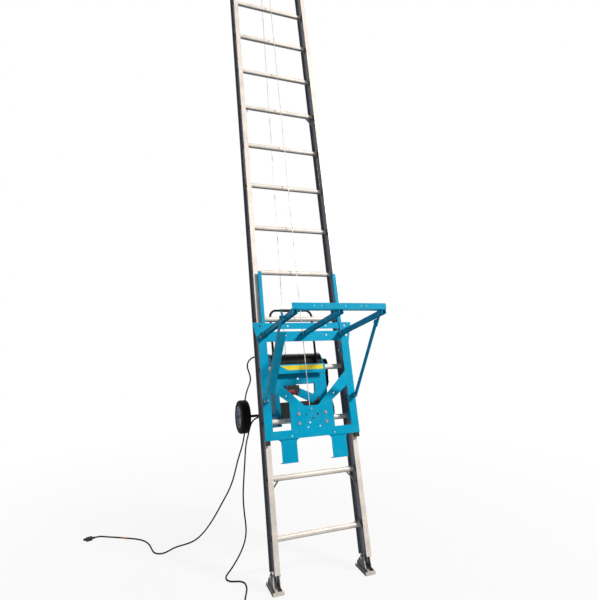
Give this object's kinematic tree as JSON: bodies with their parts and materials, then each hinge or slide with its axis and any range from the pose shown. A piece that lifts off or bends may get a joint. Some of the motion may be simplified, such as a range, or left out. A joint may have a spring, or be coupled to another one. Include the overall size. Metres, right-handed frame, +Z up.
{
  "type": "ladder material hoist",
  "caption": "Leaning track ladder with a rope-drawn carriage and folding platform, lifted by a wheeled power unit that hooks on a rung behind it.",
  "frame": {"origin": "on the ground, midway between the two shoes, where the middle plane of the ladder meets the ground", "axes": "+Z up, +X along the rungs to the right seen from the loading side, +Y to the back, the way the ladder leans"},
  "size_m": [1.5666, 1.7693, 4.8185],
  "materials": {
    "mill_aluminium": "satin",
    "dark_aluminium": "satin",
    "zinc_steel": "satin",
    "wire_rope": "matte",
    "blue_steel": "satin",
    "black_steel": "satin",
    "motor_iron": "satin",
    "sheave_iron": "satin",
    "black_plastic": "matte",
    "roller_nylon": "matte",
    "red_plastic": "gloss",
    "black_rubber": "matte",
    "tyre_rubber": "matte",
    "wheel_rim": "satin"
  },
  "bodies": {
    "ladder": {"lower_left_rail": "mill_aluminium", "lower_right_rail": "mill_aluminium", "upper_left_rail": "mill_aluminium", "upper_right_rail": "mill_aluminium", "rungs": "mill_aluminium", "rung_struts": "dark_aluminium", "splice_plates": "dark_aluminium", "ladder_bolts": "zinc_steel", "sheave_bracket": "blue_steel", "sheave_axle": "zinc_steel", "rope_front": "wire_rope", "rope_rear": "wire_rope", "saddle_bar": "blue_steel", "front_panel": "blue_steel", "side_plates": "blue_steel", "drum_cover": "black_steel", "carry_handle": "black_steel", "gear_motor": "motor_iron", "chain_case": "black_steel", "control_box": "black_plastic", "wheel_axle": "zinc_steel", "cord_glands": "black_plastic", "mains_cord": "black_rubber", "mains_plug": "black_plastic", "pendant_cord": "black_rubber", "pendant_coil": "black_rubber", "pendant": "black_plastic"},
    "left_shoe": {"left_shoe": "dark_aluminium", "left_shoe_pad": "black_rubber"},
    "right_shoe": {"right_shoe": "dark_aluminium", "right_shoe_pad": "black_rubber"},
    "carriage": {"carriage_plate": "blue_steel", "cross_plates": "blue_steel", "uprights": "blue_steel", "landing_feet": "blue_steel", "roller_brackets": "blue_steel", "glide_pads": "black_plastic", "roller_pins": "zinc_steel", "carriage_bolts": "zinc_steel", "rope_anchor": "zinc_steel", "hinge_lugs": "blue_steel", "hinge_pins": "zinc_steel"},
    "roller_low_left": {"roller_low_left": "roller_nylon"},
    "roller_low_right": {"roller_low_right": "roller_nylon"},
    "roller_high_left": {"roller_high_left": "roller_nylon"},
    "roller_high_right": {"roller_high_right": "roller_nylon"},
    "platform": {"left_arm": "blue_steel", "middle_arm": "blue_steel", "right_arm": "blue_steel", "front_lip": "blue_steel"},
    "left_brace": {"left_brace": "blue_steel"},
    "right_brace": {"right_brace": "blue_steel"},
    "drum": {"drum": "zinc_steel", "rope_winding": "wire_rope"},
    "sheave": {"rope_sheave": "sheave_iron"},
    "left_wheel": {"left_tyre": "tyre_rubber", "left_rim": "wheel_rim"},
    "right_wheel": {"right_tyre": "tyre_rubber", "right_rim": "wheel_rim"},
    "switch": {"rocker_switch": "red_plastic"}
  },
  "joints": [
    {"name": "carriage_slide", "type": "slide", "parent": "ladder", "child": "carriage", "axis": [0, 0.2588, 0.9659], "range_m": [-0.42, 2.6], "deforming": ["rope_front"]},
    {"name": "platform_fold", "type": "hinge", "parent": "carriage", "child": "platform", "pos_m": [0, 0.2554, 1.33954], "axis": [-1, 0, 0], "range_deg": [0, 85]},
    {"name": "left_brace_swing", "type": "hinge", "parent": "carriage", "child": "left_brace", "pos_m": [-0.2815, 0.15067, 0.96799], "axis": [1, 0, 0], "range_deg": [0, 130]},
    {"name": "right_brace_swing", "type": "hinge", "parent": "carriage", "child": "right_brace", "pos_m": [0.2815, 0.15067, 0.96799], "axis": [1, 0, 0], "range_deg": [0, 130]},
    {"name": "left_shoe_pivot", "type": "hinge", "parent": "ladder", "child": "left_shoe", "pos_m": [-0.27, 0.01967, 0.07341], "axis": [1, 0, 0], "range_deg": [-30, 60]},
    {"name": "right_shoe_pivot", "type": "hinge", "parent": "ladder", "child": "right_shoe", "pos_m": [0.27, 0.01967, 0.07341], "axis": [1, 0, 0], "range_deg": [-30, 60]},
    {"name": "drum_spin", "type": "hinge", "parent": "ladder", "child": "drum", "pos_m": [0, 0.42118, 1.12368], "axis": [1, 0, 0], "continuous": true},
    {"name": "sheave_spin", "type": "hinge", "parent": "ladder", "child": "sheave", "pos_m": [0, 1.28736, 4.74654], "axis": [1, 0, 0], "continuous": true},
    {"name": "left_wheel_spin", "type": "hinge", "parent": "ladder", "child": "left_wheel", "pos_m": [-0.341, 0.42907, 0.82858], "axis": [1, 0, 0], "continuous": true},
    {"name": "right_wheel_spin", "type": "hinge", "parent": "ladder", "child": "right_wheel", "pos_m": [0.205, 0.42907, 0.82858], "axis": [1, 0, 0], "continuous": true},
    {"name": "switch_rock", "type": "hinge", "parent": "ladder", "child": "switch", "pos_m": [-0.092, 0.24845, 0.99293], "axis": [1, 0, 0], "range_deg": [-10, 10]},
    {"name": "roller_low_left_spin", "type": "hinge", "parent": "carriage", "child": "roller_low_left", "pos_m": [-0.262, 0.18916, 0.83965], "axis": [1, 0, 0], "continuous": true},
    {"name": "roller_low_right_spin", "type": "hinge", "parent": "carriage", "child": "roller_low_right", "pos_m": [0.262, 0.18916, 0.83965], "axis": [1, 0, 0], "continuous": true},
    {"name": "roller_high_left_spin", "type": "hinge", "parent": "carriage", "child": "roller_high_left", "pos_m": [-0.262, 0.29269, 1.22602], "axis": [1, 0, 0], "continuous": true},
    {"name": "roller_high_right_spin", "type": "hinge", "parent": "carriage", "child": "roller_high_right", "pos_m": [0.262, 0.29269, 1.22602], "axis": [1, 0, 0], "continuous": true}
  ],
  "couplings": [
    {"joint": "drum_spin", "follows": "carriage_slide", "rad_per_m": 21.053},
    {"joint": "sheave_spin", "follows": "carriage_slide", "rad_per_m": -15.385},
    {"joint": "roller_low_left_spin", "follows": "carriage_slide", "rad_per_m": 90.909},
    {"joint": "roller_low_right_spin", "follows": "carriage_slide", "rad_per_m": 90.909},
    {"joint": "roller_high_left_spin", "follows": "carriage_slide", "rad_per_m": 90.909},
    {"joint": "roller_high_right_spin", "follows": "carriage_slide", "rad_per_m": 90.909}
  ]
}
